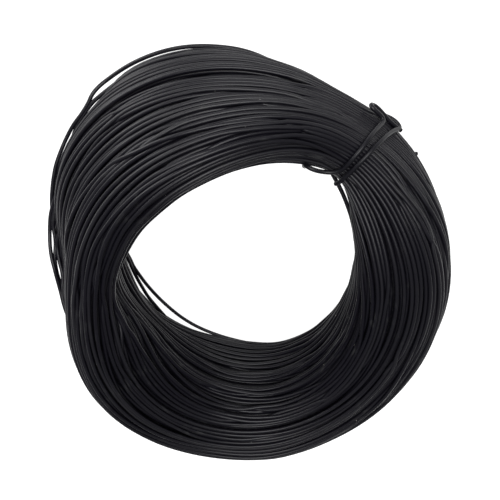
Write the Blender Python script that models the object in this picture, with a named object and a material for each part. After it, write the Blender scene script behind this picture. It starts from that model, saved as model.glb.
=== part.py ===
# A coil of black coated binding wire, lying flat on its end as it would on a bench, and the
# short length of the same wire that ties its turns together.
# Positions on the bundle are given by the azimuth round the coil, the fraction of the way round
# the bundle's section (0 outer side, 0.25 top, 0.5 bore side, 0.75 underside) and the height
# out of the bundle's skin.

import math

import bmesh
import bpy
import numpy as np

# The wire: a 1.4 mm steel core in a 0.3 mm black coating.
WIRE_DIAMETER = 0.002

# The ring that the middle of the bundle follows, seen from above: an oval, a little lobed.
COIL_RADIUS = 0.0833
COIL_OVAL = 0.0058
COIL_OVAL_AZIMUTH = 107.0
COIL_LOBE = 0.0013
COIL_LOBE_AZIMUTH = 104.0

# The bundle's section: its thickness across the turns, its height along the coil's axis, how
# much more or less of each there is on one side of the coil, and how square its corners are.
BUNDLE_THICKNESS = 0.0411
BUNDLE_THICKNESS_SWING = 0.0138
BUNDLE_THICKNESS_AZIMUTH = 121.0
BUNDLE_BULGE = 0.0049
BUNDLE_BULGE_AZIMUTH = 56.0
BUNDLE_HEIGHT = 0.0719
BUNDLE_HEIGHT_SWING = 0.0179
BUNDLE_HEIGHT_AZIMUTH = 0.0
SECTION_SQUARENESS = 2.8

# The turns have slumped: the bundle leans outward at its foot, more on one side.
BUNDLE_LEAN = 13.0
BUNDLE_LEAN_SWING = 20.0
BUNDLE_LEAN_AZIMUTH = 339.0

# Where the tie grips the bundle it is lower, thinner and lifted off the bench.
SQUEEZE_AZIMUTH = 254.0
SQUEEZE_SPREAD = 32.0
SQUEEZE_HEIGHT = 0.0303
SQUEEZE_THICKNESS = 0.0067
SQUEEZE_LIFT = 0.0048

# The hollows that loose turns bridge: on the outer foot, and low down in the bore.
FOOT_HOLLOW = 0.004
FOOT_HOLLOW_AZIMUTH = 307.0
FOOT_HOLLOW_SPREAD = 19.0
BORE_HOLLOW = 0.0065
BORE_HOLLOW_AZIMUTH = 48.0
BORE_HOLLOW_SPREAD = 24.0
HOLLOW_FRACTION_SPREAD = 0.08

# The skin: one ridge for each turn that shows, its depth a share of its width, and the flat
# strip that the foot of the coil rests on.
RIDGES = 60
RIDGE_DEPTH_SHARE = 0.42
FOOT_FLAT_DEPTH = 0.0006
STATIONS = 48
OUTLINE_STEPS = 288

# The tie: where it crosses the bundle, its clearance from it, and how far its bends stand off.
TIE_AZIMUTH = 247.0
TIE_CLEARANCE = 0.0003
TIE_BEND_RISE = 0.0024
WIRE_SIDES = 8


def clear_scene():
    for item in list(bpy.data.objects):
        bpy.data.objects.remove(item, do_unlink=True)
    for mesh in list(bpy.data.meshes):
        bpy.data.meshes.remove(mesh)


def swing(azimuth, size, at_degrees, lobes=1):
    return size * np.cos(lobes * (azimuth - math.radians(at_degrees)))


def bump(azimuth, at_degrees, spread_degrees):
    turn = azimuth - math.radians(at_degrees)
    turn = (turn + math.pi) % (2.0 * math.pi) - math.pi
    return np.exp(-(turn / math.radians(spread_degrees)) ** 2)


def fraction_bump(fraction, centre):
    step = (fraction - centre + 0.5) % 1.0 - 0.5
    return np.exp(-(step / HOLLOW_FRACTION_SPREAD) ** 2)


def section_outline(azimuth):
    """The bundle's skin at one azimuth: fraction, radius and height of each point round it."""
    squeeze = bump(azimuth, SQUEEZE_AZIMUTH, SQUEEZE_SPREAD)
    centre = COIL_RADIUS + swing(azimuth, COIL_OVAL, COIL_OVAL_AZIMUTH, 2)
    centre += swing(azimuth, COIL_LOBE, COIL_LOBE_AZIMUTH, 3)
    thickness = BUNDLE_THICKNESS + swing(azimuth, BUNDLE_THICKNESS_SWING, BUNDLE_THICKNESS_AZIMUTH)
    thickness += swing(azimuth, BUNDLE_BULGE, BUNDLE_BULGE_AZIMUTH, 2)
    thickness -= squeeze * SQUEEZE_THICKNESS
    height = BUNDLE_HEIGHT + swing(azimuth, BUNDLE_HEIGHT_SWING, BUNDLE_HEIGHT_AZIMUTH)
    height -= squeeze * SQUEEZE_HEIGHT
    lean = math.radians(BUNDLE_LEAN)
    lean += swing(azimuth, math.radians(BUNDLE_LEAN_SWING), BUNDLE_LEAN_AZIMUTH)

    turn = np.linspace(0.0, 2.0 * math.pi, OUTLINE_STEPS + 1)
    power = 2.0 / SECTION_SQUARENESS
    across = 0.5 * thickness * np.sign(np.cos(turn)) * np.abs(np.cos(turn)) ** power
    along = 0.5 * height * np.sign(np.sin(turn)) * np.abs(np.sin(turn)) ** power
    steps = np.hypot(np.diff(across), np.diff(along))
    fraction = np.concatenate([[0.0], np.cumsum(steps)]) / steps.sum()

    radius = across * math.cos(lean) - along * math.sin(lean)
    level = across * math.sin(lean) + along * math.cos(lean)
    level += squeeze * SQUEEZE_LIFT - FOOT_FLAT_DEPTH - level.min()
    return fraction, radius + centre, level


def hollow_depth(azimuth, fraction):
    foot = bump(azimuth, FOOT_HOLLOW_AZIMUTH, FOOT_HOLLOW_SPREAD) * fraction_bump(fraction, 0.8)
    bore = bump(azimuth, BORE_HOLLOW_AZIMUTH, BORE_HOLLOW_SPREAD) * fraction_bump(fraction, 0.62)
    return FOOT_HOLLOW * foot + BORE_HOLLOW * bore


def skin_point(azimuth, fraction, height):
    """A point in space, out of the bundle's skin by the height given, along the skin's normal."""
    around, radius, level = section_outline(azimuth)
    ahead = (fraction + 0.004) % 1.0
    behind = (fraction - 0.004) % 1.0
    run = np.interp(ahead, around, radius) - np.interp(behind, around, radius)
    rise = np.interp(ahead, around, level) - np.interp(behind, around, level)
    length = math.hypot(run, rise)
    at = fraction % 1.0
    out = np.interp(at, around, radius) + height * rise / length
    up = np.interp(at, around, level) - height * run / length
    return np.array([out * math.cos(azimuth), out * math.sin(azimuth), up])


def new_object(name, mesh, material):
    mesh.materials.append(material)
    item = bpy.data.objects.new(name, mesh)
    bpy.context.scene.collection.objects.link(item)
    return item


def wire_material(name, shade):
    material = bpy.data.materials.new(name)
    material.use_nodes = True
    shader = material.node_tree.nodes["Principled BSDF"]
    shader.inputs["Base Color"].default_value = (shade, shade, shade * 1.08, 1.0)
    shader.inputs["Roughness"].default_value = 0.42
    return material


def smooth_path(controls, steps):
    """A curve through the control points, evenly stepped from one to the next."""
    controls = np.array(controls, dtype=float)
    ends = [2.0 * controls[0] - controls[1]], [2.0 * controls[-1] - controls[-2]]
    padded = np.concatenate([ends[0], controls, ends[1]])
    points = []
    for index in range(len(controls) - 1):
        first, second, third, fourth = padded[index:index + 4]
        for t in np.linspace(0.0, 1.0, steps, endpoint=False):
            curve = 2.0 * second + (third - first) * t
            curve += (2.0 * first - 5.0 * second + 4.0 * third - fourth) * t ** 2
            curve += (3.0 * second - first - 3.0 * third + fourth) * t ** 3
            points.append(0.5 * curve)
    points.append(controls[-1])
    return np.array(points)


def even_spacing(points, spacing):
    lengths = np.linalg.norm(np.diff(points, axis=0), axis=1)
    along = np.concatenate([[0.0], np.cumsum(lengths)])
    count = max(2, int(round(along[-1] / spacing)) + 1)
    marks = np.linspace(0.0, along[-1], count)
    return np.stack([np.interp(marks, along, points[:, axis]) for axis in range(3)], axis=1)


def eased(points, passes):
    """Rounds the tightest bends, as bent wire does."""
    for _ in range(passes):
        middle = 0.5 * points[1:-1] + 0.25 * (points[:-2] + points[2:])
        points = np.concatenate([points[:1], middle, points[-1:]])
    return points


def round_wire(points, diameter, sides):
    """A round wire with flat cut ends, swept along the points."""
    tangents = np.gradient(points, axis=0)
    tangents /= np.linalg.norm(tangents, axis=1)[:, None]
    side = np.cross(tangents[0], np.array([0.3, 0.5, 0.8]))
    side /= np.linalg.norm(side)
    work = bmesh.new()
    rings = []
    for point, tangent in zip(points, tangents):
        side = side - tangent * side.dot(tangent)
        side /= np.linalg.norm(side)
        other = np.cross(tangent, side)
        ring = []
        for index in range(sides):
            turn = 2.0 * math.pi * index / sides
            spot = point + 0.5 * diameter * (math.cos(turn) * side + math.sin(turn) * other)
            ring.append(work.verts.new(spot))
        rings.append(ring)
    for ring, after in zip(rings, rings[1:]):
        for index in range(sides):
            beside = (index + 1) % sides
            work.faces.new((ring[index], ring[beside], after[beside], after[index]))
    work.faces.new(list(reversed(rings[0])))
    work.faces.new(rings[-1])
    return work


def finish_mesh(work, name):
    bmesh.ops.recalc_face_normals(work, faces=work.faces)
    mesh = bpy.data.meshes.new(name)
    work.to_mesh(mesh)
    work.free()
    for face in mesh.polygons:
        face.use_smooth = True
    return mesh


def bundle_body():
    """The bundle of turns: one ridged ring whose ridges run on into one another."""
    work = bmesh.new()
    count = 2 * RIDGES
    rings = []
    for station in range(STATIONS):
        azimuth = 2.0 * math.pi * station / STATIONS
        around, radius, level = section_outline(azimuth)
        girth = np.hypot(np.diff(radius), np.diff(level)).sum()
        depth = RIDGE_DEPTH_SHARE * girth / RIDGES
        ring = []
        for index in range(count):
            fraction = (index + 2.0 * station / STATIONS) / count % 1.0
            sunk = hollow_depth(azimuth, fraction)
            point = skin_point(azimuth, fraction, -sunk)
            if point[2] > 0.0 and index % 2:
                point = skin_point(azimuth, fraction, -sunk - depth)
            point[2] = max(point[2], 0.0)
            ring.append(work.verts.new(point))
        rings.append(ring)
    for station in range(STATIONS):
        ring = rings[station]
        after = rings[(station + 1) % STATIONS]
        shift = 2 if station == STATIONS - 1 else 0
        for index in range(count):
            beside = (index + 1) % count
            here = after[(index + shift) % count]
            there = after[(beside + shift) % count]
            work.faces.new((ring[index], ring[beside], there, here))
    return finish_mesh(work, "bundle")


def loose_turn(controls):
    """Part of one turn that stands clear of the bundle, its two ends run into it."""
    path = []
    for degrees, fraction, height in smooth_path(controls, 10):
        point = skin_point(math.radians(degrees), fraction, height)
        point[2] = max(point[2], 0.5 * WIRE_DIAMETER + 0.0001)
        path.append(point)
    path = even_spacing(np.array(path), 0.0045)
    return round_wire(path, WIRE_DIAMETER, 6)


def join_loose_turns(coil, turns):
    for number, work in enumerate(turns):
        mesh = finish_mesh(work, "loose_turn")
        cutter = bpy.data.objects.new("loose_turn", mesh)
        bpy.context.scene.collection.objects.link(cutter)
        union = coil.modifiers.new("join_turn_%d" % number, "BOOLEAN")
        union.operation = "UNION"
        union.solver = "EXACT"
        union.object = cutter
        bpy.context.view_layer.update()
        graph = bpy.context.evaluated_depsgraph_get()
        joined = bpy.data.meshes.new_from_object(coil.evaluated_get(graph))
        coil.modifiers.remove(union)
        joined.materials.clear()
        for material in coil.data.materials:
            joined.materials.append(material)
        coil.data = joined
        bpy.data.objects.remove(cutter, do_unlink=True)


def build_coil(material):
    coil = new_object("wire_coil", bundle_body(), material)
    # Each control: degrees round the coil, fraction round the section, height out of the skin.
    outer = [(272, 0.80, -0.0045), (278, 0.785, -0.0016), (285, 0.777, 0.0), (295, 0.775, 0.0),
             (306, 0.776, 0.0006), (318, 0.776, 0.0008), (327, 0.775, 0.0), (334, 0.775, -0.0014),
             (342, 0.78, -0.0045)]
    lower = [(-8, 0.60, -0.0045), (2, 0.61, 0.0), (12, 0.618, 0.0018), (22, 0.62, 0.0019),
             (33, 0.623, 0.0002), (45, 0.625, -0.0008), (56, 0.628, -0.0014),
             (67, 0.626, -0.0012), (78, 0.624, -0.0016), (88, 0.62, -0.0045)]
    upper = [(6, 0.59, -0.0045), (14, 0.615, -0.0008), (23, 0.632, -0.0004),
             (32, 0.637, -0.0018), (40, 0.642, -0.0034), (48, 0.646, -0.0056),
             (58, 0.648, -0.0095)]
    turns = [loose_turn(outer), loose_turn(lower), loose_turn(upper)]
    join_loose_turns(coil, turns)
    for face in coil.data.polygons:
        face.use_smooth = True
    return coil


def build_tie(material):
    """One length of wire: cut end, over the top, under the bundle, over again and folded back."""
    skin = TIE_CLEARANCE + 0.5 * WIRE_DIAMETER + 0.0003
    over = skin + TIE_BEND_RISE
    clear = skin + 0.5 * TIE_BEND_RISE
    # Each control: degrees on from the tie's middle, fraction round the section, height.
    first_run = [(0.0, 0.325, clear), (0.2, 0.30, clear - 0.0006), (0.3, 0.27, skin),
                 (0.3, 0.235, skin), (0.4, 0.20, skin), (0.2, 0.16, skin), (-0.2, 0.12, skin),
                 (-1.0, 0.075, skin), (-2.5, 0.005, skin), (-4.0, -0.055, skin)]
    bend = [(-4.8, -0.078, skin + 0.0004), (-5.0, -0.087, clear), (-4.4, -0.092, over - 0.0002),
            (-3.5, -0.092, over), (-2.7, -0.088, clear + 0.0004), (-2.0, -0.085, skin + 0.0007),
            (-1.4, -0.09, skin + 0.0002), (-0.9, -0.115, skin)]
    underside = [(-0.6, -0.16, skin), (-0.4, -0.24, skin), (0.5, -0.31, skin), (3.0, -0.39, skin),
                 (6.5, -0.47, skin), (10.5, -0.55, skin), (14.0, -0.61, skin),
                 (15.8, -0.65, skin), (16.0, -0.68, skin), (15.2, -0.70, skin + 0.0004)]
    second_run = [(13.8, -0.707, skin + 0.0008), (12.0, -0.703, clear), (9.5, -0.70, clear),
                  (7.0, -0.707, clear), (4.8, -0.722, skin + 0.0008), (3.0, -0.74, skin + 0.0002),
                  (2.7, -0.78, skin), (2.6, -0.82, skin), (2.4, -0.86, skin),
                  (2.0, -0.91, skin), (1.0, -0.97, skin)]
    fold = [(-0.4, -1.035, skin), (0.5, -1.044, skin + 0.0001), (1.8, -1.044, skin),
            (3.2, -1.05, skin - 0.0001), (3.9, -1.055, skin - 0.0001), (4.4, -1.059, skin + 0.0003),
            (4.6, -1.06, clear + 0.0001), (4.4, -1.058, over), (3.9, -1.054, over + 0.0003),
            (2.1, -1.044, over + 0.0001), (0.2, -1.03, over + 0.0002), (-1.8, -1.028, over + 0.0002),
            (-3.5, -1.026, over), (-4.8, -1.035, over - 0.0002)]
    path = []
    for degrees, fraction, height in smooth_path(first_run + bend + underside + second_run + fold, 8):
        path.append(skin_point(math.radians(TIE_AZIMUTH + degrees), fraction, height))
    path = even_spacing(eased(even_spacing(np.array(path), 0.001), 2), 0.001)
    work = round_wire(path, WIRE_DIAMETER, WIRE_SIDES)
    return new_object("tie_wire", finish_mesh(work, "tie_wire"), material)


def centre_on_floor(items):
    """Move the whole part so that the middle of its footprint is at the origin, floor at zero."""
    spots = np.array([tuple(corner.co) for item in items for corner in item.data.vertices])
    middle = 0.5 * (spots.min(axis=0) + spots.max(axis=0))
    middle[2] = spots[:, 2].min()
    for item in items:
        for corner in item.data.vertices:
            corner.co = (corner.co[0] - middle[0], corner.co[1] - middle[1], corner.co[2] - middle[2])


clear_scene()
coil = build_coil(wire_material("black_coating", 0.028))
tie = build_tie(wire_material("tie_coating", 0.032))
centre_on_floor([coil, tie])
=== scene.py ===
import math

import bmesh
import bpy
import numpy as np
from mathutils import Matrix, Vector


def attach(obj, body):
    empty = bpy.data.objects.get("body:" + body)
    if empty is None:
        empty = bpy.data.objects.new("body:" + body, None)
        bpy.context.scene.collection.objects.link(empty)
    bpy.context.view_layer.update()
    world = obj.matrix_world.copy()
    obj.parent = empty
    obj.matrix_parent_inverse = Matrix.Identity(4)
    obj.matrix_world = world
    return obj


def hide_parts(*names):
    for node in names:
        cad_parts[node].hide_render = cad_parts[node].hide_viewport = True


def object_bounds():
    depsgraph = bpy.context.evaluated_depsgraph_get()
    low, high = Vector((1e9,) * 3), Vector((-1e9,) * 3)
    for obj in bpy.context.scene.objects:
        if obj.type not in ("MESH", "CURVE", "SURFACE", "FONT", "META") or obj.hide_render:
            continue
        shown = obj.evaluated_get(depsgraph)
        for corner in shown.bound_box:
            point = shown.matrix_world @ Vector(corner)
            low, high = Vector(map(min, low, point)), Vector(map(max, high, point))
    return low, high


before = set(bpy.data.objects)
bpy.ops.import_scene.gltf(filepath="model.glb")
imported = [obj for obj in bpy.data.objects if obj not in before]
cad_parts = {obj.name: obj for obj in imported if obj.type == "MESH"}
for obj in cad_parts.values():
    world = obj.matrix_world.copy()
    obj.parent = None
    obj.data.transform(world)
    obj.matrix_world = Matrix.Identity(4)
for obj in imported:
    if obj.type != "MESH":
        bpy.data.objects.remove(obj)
cad_low, cad_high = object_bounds()


# The turns that show: the outer three layers of a loose coil of about 250 turns. They are one
# steel wire in a satin black coating, wound by hand into a bundle and laid flat, so the bundle
# has slumped, and its turns wander, press each other aside and ride over one another.

WIRE_DIAMETER = 0.002

# Where the middle of the coil's box stands, from the axis that the bundle's radius is taken from.
COIL_MIDDLE = (0.00376, 0.00658)

# The bundle's section changes round the coil. Its sizes are in metres, and the azimuths in
# degrees. A swing is its size, the azimuth where it is greatest, and how often it comes round.
BUNDLE_RADIUS = 0.0833
BUNDLE_THICKNESS = 0.0411
BUNDLE_HEIGHT = 0.0719
BUNDLE_LEAN = math.radians(13.0)
OUT_OF_ROUND = (0.0058, 107.0, 2)
THREE_CORNERED = (0.0013, 104.0, 3)
THICK_SIDE = (0.0138, 121.0)
THICK_FLANKS = (0.0049, 56.0, 2)
TALL_SIDE = (0.0179, 0.0)
LEANING_SIDE = (math.radians(20.0), 339.0)
SECTION_ROUNDNESS = 2.0 / 2.8
FOOT_SINK = 0.0006

# The tie's grip squeezes the bundle thinner and much lower, and lifts its foot.
GRIP_AZIMUTH = 254.0
GRIP_SPREAD = 32.0
GRIP_THINNING = 0.0067
GRIP_LOWERING = 0.0303
GRIP_LIFT = 0.0048

# Where the bundle has sunk, or stands proud where the depth is negative: the depth, the azimuth
# and its spread, and the fraction of the way round the section and its spread. The fraction is
# 0 at the outer side, 0.25 at the top, 0.5 at the bore and 0.75 underneath.
HOLLOWS = (
    # Along the outer foot, behind the loose outer turns.
    (0.0023, 301.0, 28.0, 0.82, 0.088),
    (0.0040, 331.0, 10.0, 0.785, 0.05),
    (0.0020, 347.0, 23.0, 0.80, 0.054),
    # The outer side where the coil is tallest.
    (0.0035, 8.0, 16.0, 0.935, 0.088),
    (0.0040, 11.0, 20.0, 0.03, 0.093),
    # Low in the bore, most of them behind the loose turns there.
    (0.0068, 56.0, 26.0, 0.61, 0.10),
    (0.0022, 43.0, 14.0, 0.57, 0.095),
    (0.0011, 116.0, 11.0, 0.635, 0.06),
    (0.0008, 181.0, 12.0, 0.58, 0.07),
    # The lip of the bore.
    (0.0062, 4.0, 21.0, 0.33, 0.085),
    (0.0030, 8.0, 20.0, 0.43, 0.075),
    (0.0030, 28.0, 17.0, 0.45, 0.07),
    (0.0005, 284.0, 8.0, 0.30, 0.06),
    (-0.0007, 313.0, 9.0, 0.28, 0.06),
    # The neck under the tie and beside it.
    (0.0032, 249.0, 9.0, 0.38, 0.06),
    (0.0038, 241.0, 10.0, 0.46, 0.08),
    (0.0012, 261.0, 8.0, 0.87, 0.08),
    (0.0006, 276.0, 7.0, 0.82, 0.07),
    (0.0012, 225.0, 13.0, 0.94, 0.08),
    (-0.0013, 246.0, 4.5, 0.92, 0.05),
    # The top edge of the side that is across from the tie.
    (-0.0013, 64.0, 20.0, 0.15, 0.09),
    (-0.0019, 113.0, 15.0, 0.15, 0.09),
)


def swing(azimuth, size, at_degrees, times_round=1):
    """A size that rises and falls smoothly round the coil."""
    return size * np.cos(times_round * (azimuth - math.radians(at_degrees)))


def bump(azimuth, at_degrees, spread_degrees):
    """A smooth hump, 1 high, at one place round the coil."""
    turn = azimuth - math.radians(at_degrees)
    turn = (turn + math.pi) % (2.0 * math.pi) - math.pi
    return np.exp(-(turn / math.radians(spread_degrees)) ** 2)


def fraction_bump(fraction, centre, spread):
    """A smooth hump, 1 high, at one place round the bundle's section."""
    step = (fraction - centre + 0.5) % 1.0 - 0.5
    return np.exp(-(step / spread) ** 2)


def section_outline(azimuth):
    """The bundle's skin at one azimuth: fraction, radius and height of each point round it."""
    outline_points = 289
    grip = bump(azimuth, GRIP_AZIMUTH, GRIP_SPREAD)
    centre = BUNDLE_RADIUS + swing(azimuth, *OUT_OF_ROUND) + swing(azimuth, *THREE_CORNERED)
    thickness = BUNDLE_THICKNESS + swing(azimuth, *THICK_SIDE) + swing(azimuth, *THICK_FLANKS)
    thickness -= grip * GRIP_THINNING
    height = BUNDLE_HEIGHT + swing(azimuth, *TALL_SIDE) - grip * GRIP_LOWERING
    lean = BUNDLE_LEAN + swing(azimuth, *LEANING_SIDE)
    turn = np.linspace(0.0, 2.0 * math.pi, outline_points)
    across = 0.5 * thickness * np.sign(np.cos(turn)) * np.abs(np.cos(turn)) ** SECTION_ROUNDNESS
    along = 0.5 * height * np.sign(np.sin(turn)) * np.abs(np.sin(turn)) ** SECTION_ROUNDNESS
    steps = np.hypot(np.diff(across), np.diff(along))
    fraction = np.concatenate([[0.0], np.cumsum(steps)]) / steps.sum()
    radius = across * math.cos(lean) - along * math.sin(lean)
    level = across * math.sin(lean) + along * math.cos(lean)
    level += grip * GRIP_LIFT - FOOT_SINK - level.min()
    return fraction, radius + centre, level, steps.sum()


def hollow_depth(azimuth, fraction):
    """How far the skin is sunk at each place on the bundle."""
    depth = 0.0
    for deepest, at_degrees, spread_degrees, at_fraction, spread in HOLLOWS:
        around = bump(azimuth, at_degrees, spread_degrees)
        depth = depth + deepest * around * fraction_bump(fraction, at_fraction, spread)
    return depth


# The skin is worked out once, at stations spaced evenly round the coil and at even fractions
# round the section, and read between them. Slope and curve are taken over a few steps.
STATIONS = 132
SKIN_STEPS = 400
SLOPE_REACH = 2
CURVE_REACH = 3
azimuths = 2.0 * math.pi * np.arange(STATIONS) / STATIONS
even_fractions = np.arange(SKIN_STEPS) / SKIN_STEPS
skin_radius = np.zeros((STATIONS, SKIN_STEPS))
skin_level = np.zeros((STATIONS, SKIN_STEPS))
skin_length = np.zeros(STATIONS)
for station, azimuth in enumerate(azimuths):
    fraction, radius, level, skin_length[station] = section_outline(azimuth)
    skin_radius[station] = np.interp(even_fractions, fraction, radius)
    skin_level[station] = np.interp(even_fractions, fraction, level)
run = np.roll(skin_radius, -SLOPE_REACH, axis=1) - np.roll(skin_radius, SLOPE_REACH, axis=1)
rise = np.roll(skin_level, -SLOPE_REACH, axis=1) - np.roll(skin_level, SLOPE_REACH, axis=1)
skin_out = rise / np.hypot(run, rise)
skin_up = -run / np.hypot(run, rise)
facing = np.arctan2(skin_up, skin_out)
turned = np.roll(facing, -CURVE_REACH, axis=1) - np.roll(facing, CURVE_REACH, axis=1)
turned = (turned + math.pi) % (2.0 * math.pi) - math.pi
skin_curve = turned / (2.0 * CURVE_REACH / SKIN_STEPS * skin_length[:, None])
skin_hollow = hollow_depth(azimuths[:, None], even_fractions[None, :])


def read_skin(table, fractions):
    """The table's value at each fraction, one column for each azimuth."""
    spot = (fractions % 1.0) * SKIN_STEPS
    low = np.floor(spot).astype(int) % SKIN_STEPS
    part = spot - np.floor(spot)
    column = np.arange(table.shape[0])[None, :]
    return table[column, low] * (1.0 - part) + table[column, (low + 1) % SKIN_STEPS] * part


def place_turns(fractions, heights):
    """Points in space and the skin's outward direction there, for every turn and azimuth."""
    out = read_skin(skin_out, fractions)
    up = read_skin(skin_up, fractions)
    radius = read_skin(skin_radius, fractions) + heights * out
    level = read_skin(skin_level, fractions) + heights * up
    cosine = np.cos(azimuths)[None, :]
    sine = np.sin(azimuths)[None, :]
    x = radius * cosine - COIL_MIDDLE[0]
    y = radius * sine - COIL_MIDDLE[1]
    points = np.stack([x, y, level], axis=2)
    normals = np.stack([out * cosine, out * sine, up], axis=2)
    return points, normals


def keep_in_box(points):
    """No turn reaches past the coil's overall box, or into the floor."""
    clearance = 0.00005
    room = 0.5 * WIRE_DIAMETER + clearance
    return np.clip(points, np.array(cad_low) + room, np.array(cad_high) - room)


# Each layer: its turns, the height of their middle line out of the skin, and the way it winds.
LAYERS = ((60, -0.00115, 1), (70, -0.0030, -1), (62, -0.0047, 1))

# How far turns wander along the skin, in groups and singly, and how far they rise and fall.
# About one turn in five roams over its neighbours, and comes home near the first station. A
# wander turns back after about three times its reach, in turns or in stations.
GROUP_WANDER = 0.0026
GROUP_REACH = (7.0, 34.0)
SINGLE_WANDER = 0.0016
SINGLE_REACH = 24.0
HEIGHT_WANDER = 0.0005
HEIGHT_REACH = 22.0
ROAMING_SHARE = 0.22
ROAMING_WANDER = 0.006
ROAMING_REACH = 40.0
ROAMING_LIFT = 0.0007
ROAMING_FADE = 6.0
CHANCE_SEED = 11
SMOOTHING = 10.0
chance = np.random.default_rng(CHANCE_SEED)


def group_chance(rows, reach_rows, reach_columns):
    """A smooth random field over turns and azimuths, about 1 high, that closes on itself."""
    field = chance.normal(size=(rows, STATIONS))
    row = np.fft.fftfreq(rows)[:, None] * reach_rows
    column = np.fft.fftfreq(STATIONS)[None, :] * reach_columns
    field = np.fft.ifft2(np.fft.fft2(field) * np.exp(-(row ** 2 + column ** 2) * SMOOTHING)).real
    return field / field.std()


def wire_chance(count, reach):
    """Smooth chance along one wire that goes round count times before it meets itself."""
    line = chance.normal(size=count * STATIONS)
    wave = np.fft.fftfreq(line.size) * reach
    line = np.fft.ifft(np.fft.fft(line) * np.exp(-wave ** 2 * SMOOTHING)).real
    return (line / line.std()).reshape(count, STATIONS)


home_fraction = []
home_height = []
follows = []
wraps = []
first = 0
for count, height, drift in LAYERS:
    number = np.arange(count)
    spread = (number[:, None] + 0.5 + drift * azimuths[None, :] / (2.0 * math.pi)) / count
    together = group_chance(count, *GROUP_REACH) * GROUP_WANDER
    alone = wire_chance(count, SINGLE_REACH) * SINGLE_WANDER
    roams = (chance.random(count) < ROAMING_SHARE) * 1.0
    roaming = wire_chance(count, ROAMING_REACH) * ROAMING_WANDER * roams[:, None]
    from_start = np.minimum(azimuths, 2.0 * math.pi - azimuths)
    fade = np.minimum(1.0, ROAMING_FADE * from_start / (2.0 * math.pi))
    home_fraction.append(spread + (together + alone + roaming * fade) / skin_length[None, :])
    rising = ROAMING_LIFT * roams[:, None] * fade
    home_height.append(height + rising + wire_chance(count, HEIGHT_REACH) * HEIGHT_WANDER)
    follows.append(first + (number + drift) % count)
    wraps.append(np.where((number + drift >= count) | (number + drift < 0), drift, 0))
    first += count
home_fraction = np.concatenate(home_fraction)
home_height = np.concatenate(home_height)
follows = np.concatenate(follows)
wraps = np.concatenate(wraps).astype(float)
leads = np.argsort(follows)


def ease_along(table, wrap, amount):
    """Evens each wire along its length, on through the place where one turn meets the next."""
    after = np.concatenate([table[:, 1:], (table[follows, 0] + wrap)[:, None]], axis=1)
    before = np.concatenate([(table[leads, -1] - wrap[leads])[:, None], table[:, :-1]], axis=1)
    return table + amount * (0.5 * (after + before) - table)


# The turns settle step by step. Each is drawn back to its home, pushed off the turns that it
# overlaps, held under the skin, lower where the tie grips, and evened along its length.
TIE_AZIMUTH = 247.0
PINCH_SPREAD = 9.0
PINCH_DEPTH = 0.00085
TOP_HEIGHT = -0.00035
SETTLING_STEPS = 140
HOME_PULL_ASIDE = 0.03
HOME_PULL_UP = 0.05
NEIGHBOURS = 8
KEPT_APART = 1.02
PUSH = 0.32
EASING = 0.35
NEVER_ZERO = 1e-7
ceiling = TOP_HEIGHT - PINCH_DEPTH * bump(azimuths, TIE_AZIMUTH, PINCH_SPREAD)[None, :]
fractions = home_fraction.copy()
heights = home_height.copy()
for _ in range(SETTLING_STEPS):
    fractions += HOME_PULL_ASIDE * (home_fraction - fractions)
    heights += HOME_PULL_UP * (home_height - heights)
    order = np.argsort(fractions % 1.0, axis=0)
    sorted_fraction = np.take_along_axis(fractions % 1.0, order, axis=0)
    sorted_height = np.take_along_axis(heights, order, axis=0)
    curve = read_skin(skin_curve, sorted_fraction)
    scale = skin_length[None, :] * (1.0 + curve * sorted_height)
    push_fraction = np.zeros_like(fractions)
    push_height = np.zeros_like(heights)
    for shift in range(1, NEIGHBOURS + 1):
        other = np.roll(sorted_fraction, -shift, axis=0)
        other[-shift:] += 1.0
        aside = (other - sorted_fraction) * scale
        above = np.roll(sorted_height, -shift, axis=0) - sorted_height
        apart = np.hypot(aside, above) + NEVER_ZERO
        press = np.maximum(0.0, KEPT_APART * WIRE_DIAMETER - apart) * PUSH
        move_aside = press * aside / apart / scale
        move_up = press * above / apart
        push_fraction += np.roll(move_aside, shift, axis=0) - move_aside
        push_height += np.roll(move_up, shift, axis=0) - move_up
    np.put_along_axis(push_fraction, order, push_fraction.copy(), axis=0)
    np.put_along_axis(push_height, order, push_height.copy(), axis=0)
    fractions += push_fraction
    heights += push_height
    heights = np.minimum(heights, ceiling)
    fractions = ease_along(fractions, wraps, EASING)
    heights = ease_along(heights, wraps * 0.0, EASING)


def tube_rings(points, normals, tangents, diameter, sides):
    """Rings of points round a wire's middle line, turned to follow the skin under it."""
    tangents = tangents / np.linalg.norm(tangents, axis=-1, keepdims=True)
    lift = normals - tangents * np.sum(normals * tangents, axis=-1, keepdims=True)
    lift /= np.linalg.norm(lift, axis=-1, keepdims=True)
    side = np.cross(tangents, lift)
    turn = 2.0 * math.pi * np.arange(sides) / sides
    shape = points.shape[:-1] + (1, 3)
    ring = np.cos(turn)[:, None] * lift.reshape(shape)
    ring = ring + np.sin(turn)[:, None] * side.reshape(shape)
    return points.reshape(shape) + 0.5 * diameter * ring


# One station's length of wire, as the coating's marks are laid along it.
MARK_LENGTH = 0.0044


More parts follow.
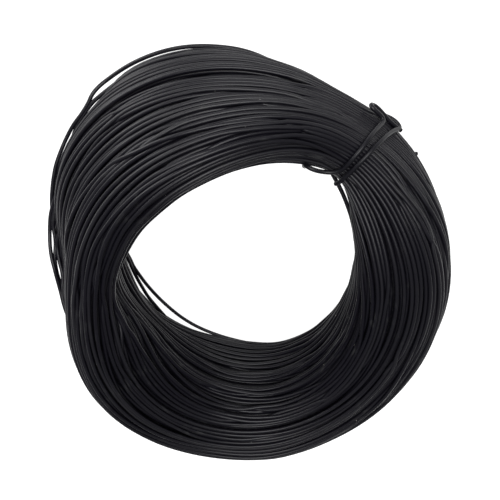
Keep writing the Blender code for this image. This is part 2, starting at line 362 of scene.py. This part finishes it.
def wire_mesh(name, rings, next_ring, along, material):
    """A mesh of tubes: next_ring gives the ring that each ring is joined to, or -1 at an end."""
    sides = rings.shape[1]
    step = np.arange(sides)
    joined = np.nonzero(next_ring >= 0)[0]
    here = joined[:, None] * sides + step[None, :]
    beside = joined[:, None] * sides + (step[None, :] + 1) % sides
    there = next_ring[joined][:, None] * sides + step[None, :]
    across = next_ring[joined][:, None] * sides + (step[None, :] + 1) % sides
    faces = np.stack([here, there, across, beside], axis=2).reshape(-1, 4)
    mesh = bpy.data.meshes.new(name)
    mesh.from_pydata(rings.reshape(-1, 3).tolist(), [], faces.tolist())
    layer = mesh.uv_layers.new(name="wire")
    low = along[joined][:, None] + 0.0 * step[None, :]
    high = along[joined][:, None] + MARK_LENGTH + 0.0 * step[None, :]
    left = (step / sides)[None, :] + 0.0 * low
    right = ((step + 1) / sides)[None, :] + 0.0 * low
    corners = np.stack([np.stack([low, left], 2), np.stack([high, left], 2),
                        np.stack([high, right], 2), np.stack([low, right], 2)], axis=2)
    layer.data.foreach_set("uv", corners.reshape(-1).astype(np.float32))
    mesh.polygons.foreach_set("use_smooth", np.ones(len(mesh.polygons), dtype=bool))
    mesh.materials.append(material)
    item = bpy.data.objects.new(name, mesh)
    bpy.context.scene.collection.objects.link(item)
    return item


def noise_in(group, vector, scale, detail, stretch=(1.0, 1.0, 1.0)):
    """A noise texture in the group, its coordinates stretched first."""
    spread = group.nodes.new("ShaderNodeVectorMath")
    spread.operation = "MULTIPLY"
    group.links.new(vector, spread.inputs[0])
    spread.inputs[1].default_value = stretch
    noise = group.nodes.new("ShaderNodeTexNoise")
    noise.inputs["Scale"].default_value = scale
    noise.inputs["Detail"].default_value = detail
    group.links.new(spread.outputs[0], noise.inputs["Vector"])
    return noise.outputs["Fac"]


def ramp_in(group, value, low, high, start=0.0, end=1.0):
    """A smooth ramp: start at low and below, end at high and above."""
    ramp = group.nodes.new("ShaderNodeMapRange")
    ramp.interpolation_type = "SMOOTHSTEP"
    group.links.new(value, ramp.inputs["Value"])
    ramp.inputs["From Min"].default_value = low
    ramp.inputs["From Max"].default_value = high
    ramp.inputs["To Min"].default_value = start
    ramp.inputs["To Max"].default_value = end
    return ramp.outputs["Result"]


def math_in(group, operation, first, second):
    """One step of arithmetic in the group, on values that are linked or plain numbers."""
    node = group.nodes.new("ShaderNodeMath")
    node.operation = operation
    for socket, value in zip(node.inputs, (first, second)):
        if isinstance(value, float):
            socket.default_value = value
        else:
            group.links.new(value, socket)
    return node.outputs[0]


def mix_in(group, factor, first):
    """A mix of two colours by the factor, of which the second is still to be set."""
    mix = group.nodes.new("ShaderNodeMix")
    mix.data_type = "RGBA"
    group.links.new(factor, mix.inputs["Factor"])
    group.links.new(first, mix.inputs["A"])
    return mix


# The coating's streaks drawn along the wire, duller and greyer places where turns have rubbed
# on each other, fine pores, and a few specks of dust. The gloss coat fades out towards the bore
# as painted shade, to darken the bore, and some turns are glossier than others at random.
marks_and_bore_shade = bpy.data.node_groups.new("coating_marks_and_bore_shade", "ShaderNodeTree")
for name, kind in (("Place", "NodeSocketVector"), ("Along Wire", "NodeSocketVector"),
                   ("Shade", "NodeSocketColor"), ("Rubbed Shade", "NodeSocketColor"),
                   ("Roughness", "NodeSocketFloat"), ("Dust", "NodeSocketFloat")):
    marks_and_bore_shade.interface.new_socket(name=name, in_out="INPUT", socket_type=kind)
for name, kind in (("Color", "NodeSocketColor"), ("Roughness", "NodeSocketFloat"),
                   ("Height", "NodeSocketFloat"), ("Polish_And_Bore_Shade", "NodeSocketFloat")):
    marks_and_bore_shade.interface.new_socket(name=name, in_out="OUTPUT", socket_type=kind)
given = marks_and_bore_shade.nodes.new("NodeGroupInput")
result = marks_and_bore_shade.nodes.new("NodeGroupOutput")
place = given.outputs["Place"]
along_wire = given.outputs["Along Wire"]

patches = noise_in(marks_and_bore_shade, place, scale=60.0, detail=2.0)
streaks = noise_in(marks_and_bore_shade, along_wire, scale=1.0, detail=3.0, stretch=(45.0, 9.0, 1.0))
rubs = noise_in(marks_and_bore_shade, along_wire, scale=1.0, detail=3.0, stretch=(120.0, 2.5, 1.0))
pores = noise_in(marks_and_bore_shade, place, scale=1400.0, detail=2.0)
turn_by_turn = noise_in(marks_and_bore_shade, along_wire, scale=1.0, detail=0.0, stretch=(2.6, 0.0, 0.0))
rubbed_place = ramp_in(marks_and_bore_shade, patches, low=0.5, high=0.68)
rubbed_length = ramp_in(marks_and_bore_shade, rubs, low=0.5, high=0.7)
rubbed = math_in(marks_and_bore_shade, "MULTIPLY", rubbed_place, rubbed_length)

DUST_CELLS = 420.0
DUST_SHADE = (0.35, 0.34, 0.32, 1.0)
specks = marks_and_bore_shade.nodes.new("ShaderNodeTexVoronoi")
specks.inputs["Scale"].default_value = DUST_CELLS
marks_and_bore_shade.links.new(place, specks.inputs["Vector"])
near = ramp_in(marks_and_bore_shade, specks.outputs["Distance"], low=0.07, high=0.13, start=1.0, end=0.0)
chosen = marks_and_bore_shade.nodes.new("ShaderNodeSeparateColor")
marks_and_bore_shade.links.new(specks.outputs["Color"], chosen.inputs["Color"])
rare = ramp_in(marks_and_bore_shade, chosen.outputs["Red"], low=0.985, high=0.99)
dust = math_in(marks_and_bore_shade, "MULTIPLY", math_in(marks_and_bore_shade, "MULTIPLY", near, rare), given.outputs["Dust"])

tone = mix_in(marks_and_bore_shade, rubbed, given.outputs["Shade"])
marks_and_bore_shade.links.new(given.outputs["Rubbed Shade"], tone.inputs["B"])
dusted = mix_in(marks_and_bore_shade, dust, tone.outputs["Result"])
dusted.inputs["B"].default_value = DUST_SHADE
marks_and_bore_shade.links.new(dusted.outputs["Result"], result.inputs["Color"])

RUBBED_DULLNESS = 0.14
DUST_DULLNESS = 0.4
dullness = ramp_in(marks_and_bore_shade, streaks, low=0.3, high=0.7, start=-0.07, end=0.07)
dullness = math_in(marks_and_bore_shade, "ADD", dullness, given.outputs["Roughness"])
dullness = math_in(marks_and_bore_shade, "ADD", dullness, math_in(marks_and_bore_shade, "MULTIPLY", rubbed, RUBBED_DULLNESS))
turn_dullness = ramp_in(marks_and_bore_shade, turn_by_turn, low=0.35, high=0.65, start=-0.09, end=0.12)
dullness = math_in(marks_and_bore_shade, "ADD", dullness, turn_dullness)
dullness = math_in(marks_and_bore_shade, "ADD", dullness, math_in(marks_and_bore_shade, "MULTIPLY", dust, DUST_DULLNESS))
marks_and_bore_shade.links.new(dullness, result.inputs["Roughness"])

# Painted shade: inside this radius the gloss coat is gone, so the bore looks darker than the outside.
# It stands in for the shade in the bore.
BORE_SHADE_RADIUS = 0.062
OUTSIDE_COAT_RADIUS = 0.074
from_middle = marks_and_bore_shade.nodes.new("ShaderNodeVectorMath")
from_middle.operation = "ADD"
marks_and_bore_shade.links.new(place, from_middle.inputs[0])
from_middle.inputs[1].default_value = (COIL_MIDDLE[0], COIL_MIDDLE[1], 0.0)
level_part = marks_and_bore_shade.nodes.new("ShaderNodeVectorMath")
level_part.operation = "MULTIPLY"
marks_and_bore_shade.links.new(from_middle.outputs["Vector"], level_part.inputs[0])
level_part.inputs[1].default_value = (1.0, 1.0, 0.0)
from_axis = marks_and_bore_shade.nodes.new("ShaderNodeVectorMath")
from_axis.operation = "LENGTH"
marks_and_bore_shade.links.new(level_part.outputs["Vector"], from_axis.inputs[0])
bore_shade_coat = ramp_in(marks_and_bore_shade, from_axis.outputs["Value"], low=BORE_SHADE_RADIUS,
                         high=OUTSIDE_COAT_RADIUS, start=0.0, end=0.15)
turn_polish = ramp_in(marks_and_bore_shade, turn_by_turn, low=0.52, high=0.6, start=0.0, end=0.16)
polish_and_bore_shade = math_in(marks_and_bore_shade, "ADD", bore_shade_coat, turn_polish)
marks_and_bore_shade.links.new(polish_and_bore_shade, result.inputs["Polish_And_Bore_Shade"])

STREAK_RELIEF = 0.7
PORE_RELIEF = 0.3
streak_relief = math_in(marks_and_bore_shade, "MULTIPLY", streaks, STREAK_RELIEF)
pore_relief = math_in(marks_and_bore_shade, "MULTIPLY", pores, PORE_RELIEF)
relief = math_in(marks_and_bore_shade, "ADD", streak_relief, pore_relief)
marks_and_bore_shade.links.new(math_in(marks_and_bore_shade, "ADD", relief, dust), result.inputs["Height"])

RELIEF_HEIGHT = 0.0001
RELIEF_STRENGTH = 0.5
DUST_AMOUNT = 0.8
COAT_ROUGHNESS = 0.36
COATING_SHINE = 0.12


def coated_wire(name, shade, rubbed_shade, roughness):
    """Satin black coating on the wire, with the wear and dust of handling, and a gloss coat that fades
    out in the bore as painted shade.
    """
    material = bpy.data.materials.new(name)
    material.use_nodes = True
    tree = material.node_tree
    shader = tree.nodes["Principled BSDF"]
    worn = tree.nodes.new("ShaderNodeGroup")
    worn.node_tree = marks_and_bore_shade
    position = tree.nodes.new("ShaderNodeTexCoord")
    length = tree.nodes.new("ShaderNodeUVMap")
    length.uv_map = "wire"
    tree.links.new(position.outputs["Object"], worn.inputs["Place"])
    tree.links.new(length.outputs["UV"], worn.inputs["Along Wire"])
    worn.inputs["Shade"].default_value = shade + (1.0,)
    worn.inputs["Rubbed Shade"].default_value = rubbed_shade + (1.0,)
    worn.inputs["Roughness"].default_value = roughness
    worn.inputs["Dust"].default_value = DUST_AMOUNT
    bumps = tree.nodes.new("ShaderNodeBump")
    bumps.inputs["Strength"].default_value = RELIEF_STRENGTH
    bumps.inputs["Distance"].default_value = RELIEF_HEIGHT
    tree.links.new(worn.outputs["Height"], bumps.inputs["Height"])
    tree.links.new(worn.outputs["Color"], shader.inputs["Base Color"])
    tree.links.new(worn.outputs["Roughness"], shader.inputs["Roughness"])
    # The coat weight carries painted shade: it fades out in the bore to darken it.
    tree.links.new(worn.outputs["Polish_And_Bore_Shade"], shader.inputs["Coat Weight"])
    tree.links.new(bumps.outputs["Normal"], shader.inputs["Normal"])
    shader.inputs["Coat Roughness"].default_value = COAT_ROUGHNESS
    shader.inputs["Specular IOR Level"].default_value = COATING_SHINE
    return material


coating = coated_wire("black_coating", shade=(0.0040, 0.0037, 0.0058),
                      rubbed_shade=(0.014, 0.014, 0.015), roughness=0.36)
TURN_SIDES = 8
points, normals = place_turns(fractions, heights - read_skin(skin_hollow, fractions))
points = keep_in_box(points)
after = np.concatenate([points[:, 1:], points[follows, :1]], axis=1)
before = np.concatenate([points[leads, -1:], points[:, :-1]], axis=1)
rings = tube_rings(points, normals, after - before, WIRE_DIAMETER, TURN_SIDES)
first = 0
for layer, (count, _, _) in enumerate(LAYERS):
    own_rings = rings[first:first + count].reshape(count * STATIONS, TURN_SIDES, 3)
    index = np.arange(count * STATIONS).reshape(count, STATIONS)
    next_turn = index[follows[first:first + count] - first, :1]
    following = np.concatenate([index[:, 1:], next_turn], axis=1).reshape(-1)
    along = index.reshape(-1) * MARK_LENGTH
    piece = wire_mesh("turns_layer_%d" % (layer + 1), own_rings, following, along, coating)
    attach(piece, "root")
    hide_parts("wire_coil")
    first += count


# The turns inside: the rest of the same wire, under the three layers above and seen only as
# darkness between them. They are wound as those are, and are made here as one ridged ring.

INNER_DEPTH = 0.0056
INNER_RIDGES = 64
RIDGE_HEIGHT = 0.0005
ROWS_A_RIDGE = 3
inner_rows = INNER_RIDGES * ROWS_A_RIDGE
row = np.arange(inner_rows)[:, None] / inner_rows
inner_fraction = row + azimuths[None, :] / (2.0 * math.pi) / INNER_RIDGES
inner_height = -INNER_DEPTH - RIDGE_HEIGHT * np.cos(2.0 * math.pi * row * INNER_RIDGES)
inner_height = inner_height - read_skin(skin_hollow, inner_fraction)
inner_points = place_turns(inner_fraction, inner_height)[0]
index = np.arange(inner_rows * STATIONS).reshape(inner_rows, STATIONS)
onward = np.concatenate([index[:, 1:], np.roll(index[:, :1], -ROWS_A_RIDGE, axis=0)], axis=1)
above = np.roll(index, -1, axis=0)
above_onward = np.roll(onward, -1, axis=0)
faces = np.stack([index, onward, above_onward, above], axis=2).reshape(-1, 4)
inner_mesh = bpy.data.meshes.new("inner_turns")
inner_mesh.from_pydata(inner_points.reshape(-1, 3).tolist(), [], faces.tolist())
inner_mesh.polygons.foreach_set("use_smooth", np.ones(len(inner_mesh.polygons), dtype=bool))
inner_mesh.uv_layers.new(name="wire")
inner_mesh.materials.append(coating)
inner_turns = bpy.data.objects.new("inner_turns", inner_mesh)
bpy.context.scene.collection.objects.link(inner_turns)
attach(inner_turns, "root")
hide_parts("wire_coil")


# The loose turns: runs of the same coated wire that stand clear of the bundle at its outer
# foot, along its tall side, in the bore and beside the tie. Each runs back into the bundle at
# both ends. With them is one cut end of the long wire, which stands out a little by the tie.

# Each point along a turn: the azimuth in degrees, the fraction round the section, and the height
# of the wire's middle line out of the skin.
LOOSE_TURNS = {
    "loose_turn_outer": [(272, 0.80, -0.0050), (278, 0.785, -0.0020), (285, 0.775, -0.0002),
                         (292.5, 0.775, -0.0002), (301, 0.775, 0.0), (311, 0.775, 0.0001),
                         (321, 0.775, 0.0005), (324.9, 0.787, 0.0004), (327.1, 0.798, 0.0),
                         (329.1, 0.805, -0.0010), (332.2, 0.813, -0.0014), (335.9, 0.82, -0.0008),
                         (339.9, 0.828, -0.0005), (343.4, 0.838, -0.0002), (347.3, 0.85, 0.0002),
                         (350.5, 0.86, 0.0001), (353.8, 0.868, -0.0002), (356.6, 0.874, -0.0005),
                         (359.8, 0.88, -0.0012), (366, 0.89, -0.0040)],
    "loose_turn_kinked": [(306, 0.78, -0.0060), (311, 0.78, -0.0040), (316.6, 0.78, -0.0034),
                          (320.4, 0.785, -0.0036), (324.5, 0.795, -0.0032), (328, 0.803, -0.0024),
                          (330.8, 0.809, -0.0024), (333.1, 0.814, -0.0025), (335.9, 0.82, -0.0026),
                          (339, 0.826, -0.0032), (343, 0.835, -0.0055)],
    "loose_turn_side": [(349, 0.87, -0.0045), (355, 0.88, -0.0022), (360.4, 0.885, -0.0005),
                        (363.9, 0.892, 0.0), (366.6, 0.90, 0.0002), (369.5, 0.915, 0.0004),
                        (372.5, 0.93, 0.0002), (375.4, 0.943, -0.0004), (379.3, 0.95, -0.0008),
                        (382.9, 0.957, -0.0010), (388.1, 0.973, -0.0009), (393, 0.985, -0.0016),
                        (399, 1.0, -0.0045)],
    "loose_turn_side_inner": [(352, 0.875, -0.0050), (357, 0.885, -0.0028), (362, 0.895, -0.0018),
                              (364.5, 0.90, -0.0018), (366.4, 0.907, -0.0023), (368.4, 0.912, -0.0024),
                              (370.1, 0.917, -0.0021), (372.1, 0.925, -0.0015), (374.3, 0.93, -0.0012),
                              (376.7, 0.937, -0.0012), (379.3, 0.943, -0.0015), (382, 0.95, -0.0020),
                              (387, 0.96, -0.0045)],
    "loose_turn_left": [(329, 0.80, -0.0065), (333, 0.81, -0.0045), (336.4, 0.82, -0.0038),
                        (339.8, 0.825, -0.0032), (342.8, 0.832, -0.0025), (345, 0.84, -0.0024),
                        (347.3, 0.85, -0.0027), (349.9, 0.86, -0.0029), (353.1, 0.87, -0.0028),
                        (356, 0.877, -0.0027), (359, 0.885, -0.0033), (363, 0.892, -0.0055)],
    "loose_turn_side_low": [(363, 0.915, -0.0055), (367, 0.92, -0.0035), (370.2, 0.925, -0.0031),
                            (373.6, 0.943, -0.0035), (376.7, 0.956, -0.0041), (378.8, 0.962, -0.0036),
                            (381.4, 0.97, -0.0030), (384.5, 0.978, -0.0024), (389, 0.985, -0.0026),
                            (395, 0.995, -0.0050)],
    "loose_turn_lower": [(-8, 0.60, -0.0055), (2, 0.605, -0.0010), (12, 0.605, 0.0008),
                         (22.9, 0.605, 0.0008), (28.4, 0.61, 0.0), (34.2, 0.613, -0.0004),
                         (39.9, 0.617, -0.0008), (45.5, 0.62, -0.0011), (52, 0.622, -0.0014),
                         (58.2, 0.624, -0.0016), (64.8, 0.626, -0.0018), (72.7, 0.628, -0.0017),
                         (80.5, 0.63, -0.0013), (87.3, 0.632, -0.0010), (95, 0.634, -0.0009),
                         (104, 0.634, -0.0014), (112, 0.634, -0.0028), (121, 0.634, -0.0055)],
    "loose_turn_upper": [(0, 0.58, -0.0060), (10, 0.588, -0.0016), (20, 0.594, -0.0002),
                         (24.5, 0.60, -0.0005), (30.1, 0.61, -0.0016), (36.2, 0.62, -0.0028),
                         (41.4, 0.628, -0.0038), (46.6, 0.634, -0.0050), (52.4, 0.64, -0.0058),
                         (60, 0.65, -0.0070), (69, 0.66, -0.0095)],
    "loose_turn_rim": [(264, 0.455, -0.0045), (257, 0.46, -0.0020), (250.4, 0.46, -0.0007),
                       (247.3, 0.456, -0.0003), (244.3, 0.455, 0.0001), (241.3, 0.455, 0.0003),
                       (234.8, 0.455, 0.0003), (229.2, 0.455, 0.0), (223.1, 0.455, -0.0002),
                       (216.4, 0.455, -0.0006), (207, 0.455, -0.0045)],
    "cut_end_outer": [(238, 0.906, -0.0045), (236, 0.906, -0.0032), (234.3, 0.906, -0.0022),
                      (233.2, 0.906, -0.0009), (232.6, 0.906, 0.0003)],
}

PATH_STEPS = 10
LOOSE_SPACING = 0.0018
LOOSE_SIDES = 12
SLOPE_STEP = 0.004
FLOOR_CLEARANCE = 0.0001


def skin_point(azimuth, fraction, height):
    """A point out of the bundle's skin by the height given, along the skin's normal."""
    around, radius, level = section_outline(azimuth)[:3]
    ahead = (fraction + SLOPE_STEP) % 1.0
    behind = (fraction - SLOPE_STEP) % 1.0
    run = np.interp(ahead, around, radius) - np.interp(behind, around, radius)
    rise = np.interp(ahead, around, level) - np.interp(behind, around, level)
    length = math.hypot(run, rise)
    at = fraction % 1.0
    out = np.interp(at, around, radius) + height * rise / length
    up = np.interp(at, around, level) - height * run / length
    x = out * math.cos(azimuth) - COIL_MIDDLE[0]
    y = out * math.sin(azimuth) - COIL_MIDDLE[1]
    return np.array([x, y, up])


def smooth_path(controls, steps):
    """A curve through the control points, evenly stepped from one to the next."""
    controls = np.array(controls, dtype=float)
    lead_in = 2.0 * controls[0] - controls[1]
    lead_out = 2.0 * controls[-1] - controls[-2]
    padded = np.concatenate([[lead_in], controls, [lead_out]])
    curve = []
    for index in range(len(controls) - 1):
        first, second, third, fourth = padded[index:index + 4]
        for t in np.linspace(0.0, 1.0, steps, endpoint=False):
            spot = 2.0 * second + (third - first) * t
            spot += (2.0 * first - 5.0 * second + 4.0 * third - fourth) * t ** 2
            spot += (3.0 * second - first - 3.0 * third + fourth) * t ** 3
            curve.append(0.5 * spot)
    curve.append(controls[-1])
    return np.array(curve)


def even_spacing(points, spacing):
    """The same path, its points the same distance apart."""
    lengths = np.linalg.norm(np.diff(points, axis=0), axis=1)
    along = np.concatenate([[0.0], np.cumsum(lengths)])
    count = max(2, int(round(along[-1] / spacing)) + 1)
    distance = np.linspace(0.0, along[-1], count)
    return np.stack([np.interp(distance, along, points[:, axis]) for axis in range(3)], axis=1)


def skin_path(controls, steps):
    """The wire's middle line, from azimuths in degrees, fractions and heights out of the skin."""
    points = []
    for degrees, fraction, height in smooth_path(controls, steps):
        points.append(skin_point(math.radians(degrees), fraction, height))
    points = np.array(points)
    points[:, 2] = np.maximum(points[:, 2], 0.5 * WIRE_DIAMETER + FLOOR_CLEARANCE)
    return points


# The rim of a cut end is a little rounded: the distance from the cut, and the width there as a
# share of the wire's own. The first ring is turned by a direction that no wire here runs along.
CUT_RIM = ((0.0, 0.72), (0.00012, 0.88), (0.0003, 1.0))
FIRST_SIDE = (0.3, 0.5, 0.8)


def single_wire(name, path, sides, material):
    """One length of wire along the path, with a cut end at each end of it."""
    tangents = np.gradient(path, axis=0)
    tangents /= np.linalg.norm(tangents, axis=1)[:, None]
    lift = np.cross(tangents[0], FIRST_SIDE)
    lifts = []
    for tangent in tangents:
        lift = lift - tangent * lift.dot(tangent)
        lift = lift / np.linalg.norm(lift)
        lifts.append(lift)
    rows = []
    for distance, width in CUT_RIM:
        rows.append((path[0] + distance * tangents[0], lifts[0], tangents[0], width))
    for spot in range(1, len(path) - 1):
        rows.append((path[spot], lifts[spot], tangents[spot], 1.0))
    for distance, width in reversed(CUT_RIM):
        rows.append((path[-1] - distance * tangents[-1], lifts[-1], tangents[-1], width))
    spots = np.array([row[0] for row in rows])
    row_lifts = np.array([row[1] for row in rows])
    row_tangents = np.array([row[2] for row in rows])
    widths = WIRE_DIAMETER * np.array([row[3] for row in rows])
    rings = tube_rings(spots, row_lifts, row_tangents, 1.0, sides)
    rings = spots[:, None] + (rings - spots[:, None]) * widths[:, None, None]
    next_ring = np.append(np.arange(1, len(rows)), -1)
    lengths = np.linalg.norm(np.diff(spots, axis=0), axis=1)
    along = np.concatenate([[0.0], np.cumsum(lengths)])
    item = wire_mesh(name, rings, next_ring, along, material)
    work = bmesh.new()
    work.from_mesh(item.data)
    work.verts.ensure_lookup_table()
    last_ring = (len(rows) - 1) * sides
    work.faces.new([work.verts[number] for number in reversed(range(sides))])
    work.faces.new([work.verts[last_ring + number] for number in range(sides)])
    bmesh.ops.recalc_face_normals(work, faces=work.faces)
    work.to_mesh(item.data)
    work.free()
    return item


for name, controls in LOOSE_TURNS.items():
    path = even_spacing(skin_path(controls, PATH_STEPS), LOOSE_SPACING)
    piece = single_wire(name, path, LOOSE_SIDES, coating)
    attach(piece, "root")
    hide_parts("wire_coil")


# The tie: one short length of the same coated wire that holds the bundle. It is bent round the
# bundle by hand, crosses the top twice, and is folded back on itself at the outer side. One
# cut end is left at the lip of the bore, and the other at the fold.

# Each point along it: degrees on from the tie's azimuth, the fraction round the section, and
# the height of the wire's middle line out of the skin, which is SKIN where it lies on the turns.
SKIN = 0.0016
first_run = [(0.5, 0.325, 0.0016), (0.2, 0.305, 0.0018), (0.3, 0.27, SKIN), (0.3, 0.235, SKIN),
             (0.4, 0.20, SKIN), (0.2, 0.16, SKIN), (-0.2, 0.12, SKIN), (-1.0, 0.075, SKIN),
             (-2.5, 0.01, SKIN), (-4.0, -0.04, SKIN + 0.0002)]
outer_bend = [(-4.9, -0.062, 0.0021), (-5.0, -0.075, 0.0024), (-4.3, -0.085, 0.0026),
              (-3.0, -0.09, 0.0026), (-2.0, -0.092, 0.0023), (-1.6, -0.10, 0.0019),
              (-1.2, -0.12, SKIN)]
underside = [(-0.6, -0.16, SKIN), (-0.4, -0.24, SKIN), (0.5, -0.31, SKIN), (3.0, -0.39, SKIN),
             (6.5, -0.47, SKIN), (9.6, -0.55, SKIN), (11.7, -0.61, 0.0013), (12.7, -0.64, 0.0010),
             (13.2, -0.66, 0.0006), (13.2, -0.68, 0.0006)]
second_run = [(12.8, -0.69, 0.0012), (12.0, -0.697, 0.0022), (10.0, -0.70, 0.0029),
              (8.0, -0.70, 0.0026), (5.6, -0.706, 0.0019), (3.8, -0.722, 0.0015),
              (2.8, -0.745, 0.0014), (2.6, -0.78, SKIN), (2.6, -0.82, SKIN), (2.4, -0.86, SKIN),
              (2.0, -0.91, SKIN), (1.0, -0.97, SKIN)]
fold = [(0.3, -1.01, 0.0020), (0.4, -1.028, 0.0026), (1.3, -1.03, 0.0030), (2.4, -1.03, 0.0034),
        (3.5, -1.03, 0.0037), (4.4, -1.03, 0.0039), (4.9, -1.035, 0.0041), (4.9, -1.048, 0.0038),
        (4.5, -1.058, 0.0034), (4.0, -1.06, 0.0036), (3.1, -1.06, 0.0035), (1.9, -1.06, 0.0031),
        (0.7, -1.06, 0.0027), (-0.3, -1.06, 0.0023), (-1.3, -1.06, 0.0020),
        (-2.5, -1.062, 0.0018), (-3.9, -1.064, 0.0017), (-5.8, -1.064, 0.0020)]
TIE_PATH_STEPS = 8
TIE_BENDING_SPACING = 0.001
TIE_SPACING = 0.0006
TIE_SIDES = 16
BEND_ROUNDINGS = 2


def round_bends(points, times):
    """Rounds the tightest bends, as bent wire does."""
    for _ in range(times):
        middle = 0.5 * points[1:-1] + 0.25 * (points[:-2] + points[2:])
        points = np.concatenate([points[:1], middle, points[-1:]])
    return points


tie_controls = np.array(first_run + outer_bend + underside + second_run + fold)
tie_controls[:, 0] += TIE_AZIMUTH
tie_path = even_spacing(skin_path(tie_controls, TIE_PATH_STEPS), TIE_BENDING_SPACING)
tie_path = even_spacing(round_bends(tie_path, BEND_ROUNDINGS), TIE_SPACING)
# The tie's base shade is painted darker than the turns' coating, as painted shade: the tie lies
# highest on the bundle, square to the front lamp.
tie_coating = coated_wire("tie_coating", shade=(0.0033, 0.0031, 0.0050),
                          rubbed_shade=(0.015, 0.015, 0.016), roughness=0.46)
tie = single_wire("tie_wire_bent", tie_path, TIE_SIDES, tie_coating)
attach(tie, "root")
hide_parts("tie_wire")


# The floor: a plain white sheet under the coil, lit from within so that it stays even. It is
# part of the studio and not of the coil.

FLOOR_REACH = 3
floor_mesh = bpy.data.meshes.new("floor")
floor_corners = [(-FLOOR_REACH, -FLOOR_REACH, 0), (FLOOR_REACH, -FLOOR_REACH, 0),
                 (FLOOR_REACH, FLOOR_REACH, 0), (-FLOOR_REACH, FLOOR_REACH, 0)]
floor_mesh.from_pydata(floor_corners, [], [(0, 1, 2, 3)])
floor = bpy.data.objects.new("floor", floor_mesh)
bpy.context.scene.collection.objects.link(floor)
pale = bpy.data.materials.new("pale_floor")
pale.use_nodes = True
pale_shader = pale.node_tree.nodes["Principled BSDF"]
pale_shader.inputs["Base Color"].default_value = (0.3, 0.3, 0.3, 1.0)
pale_shader.inputs["Roughness"].default_value = 0.9
pale_shader.inputs["Emission Color"].default_value = (1.0, 1.0, 1.0, 1.0)
pale_shader.inputs["Emission Strength"].default_value = 1.0
floor_mesh.materials.append(pale)


# The camera: it looks steeply down on the coil, and is rolled over, so that the far side of
# the coil is at the foot of the view. Its reach is set from the picture's width in pixels.

CAMERA_ELEVATION = math.radians(54.43)
CAMERA_ROLL = math.radians(196.07)
CAMERA_DISTANCE = 0.306834
CAMERA_REACH_PIXELS = 619.06
PICTURE_PIXELS = 500.0
SENSOR_WIDTH = 36.0
NEAREST_SEEN = 0.01
back = np.array([0.0, -math.cos(CAMERA_ELEVATION), math.sin(CAMERA_ELEVATION)])
right = np.array([1.0, 0.0, 0.0])
up = np.cross(back, right)
across = math.cos(CAMERA_ROLL) * right + math.sin(CAMERA_ROLL) * up
upward = -math.sin(CAMERA_ROLL) * right + math.cos(CAMERA_ROLL) * up
looked_at = np.array([0.000188 - COIL_MIDDLE[0], -0.015096 - COIL_MIDDLE[1], 0.031782])


def face_along(item, side, lift, away, position):
    """Stands the item at the position with its own axes along the three directions."""
    item.matrix_world = Matrix([[side[0], lift[0], away[0], position[0]],
                                [side[1], lift[1], away[1], position[1]],
                                [side[2], lift[2], away[2], position[2]],
                                [0.0, 0.0, 0.0, 1.0]])


camera_data = bpy.data.cameras.new("camera")
camera_data.sensor_width = SENSOR_WIDTH
camera_data.lens = CAMERA_REACH_PIXELS / PICTURE_PIXELS * SENSOR_WIDTH
camera_data.clip_start = NEAREST_SEEN
camera = bpy.data.objects.new("camera", camera_data)
bpy.context.scene.collection.objects.link(camera)
face_along(camera, across, upward, back, looked_at + CAMERA_DISTANCE * back)
bpy.context.scene.camera = camera


# The light: a large soft lamp behind the camera, a smaller one high at the left of the view,
# and pale air all round. All of it is plain white.

LAMP_DISTANCE = 1.1
AIR_BRIGHTNESS = 0.35


def soft_lamp(name, toward, size, power):
    """A square soft box that faces the coil from the direction given."""
    data = bpy.data.lights.new(name, "AREA")
    data.shape = "SQUARE"
    data.size = size
    data.energy = power
    away = np.array(toward) / np.linalg.norm(toward)
    side = np.cross([0.0, 0.3, 1.0], away)
    side /= np.linalg.norm(side)
    lamp = bpy.data.objects.new(name, data)
    face_along(lamp, side, np.cross(away, side), away, looked_at + LAMP_DISTANCE * away)
    bpy.context.scene.collection.objects.link(lamp)


soft_lamp("front_lamp", back - 0.05 * across - 0.1 * upward, size=0.8, power=18.6)
soft_lamp("side_lamp", 0.5 * back - 1.1 * across + 0.6 * upward, size=0.5, power=7.5)
world = bpy.data.worlds.new("studio")
bpy.context.scene.world = world
world.use_nodes = True
air = world.node_tree.nodes["Background"]
air.inputs["Color"].default_value = (1.0, 1.0, 1.0, 1.0)
air.inputs["Strength"].default_value = AIR_BRIGHTNESS
bpy.context.scene.view_settings.view_transform = "Standard"
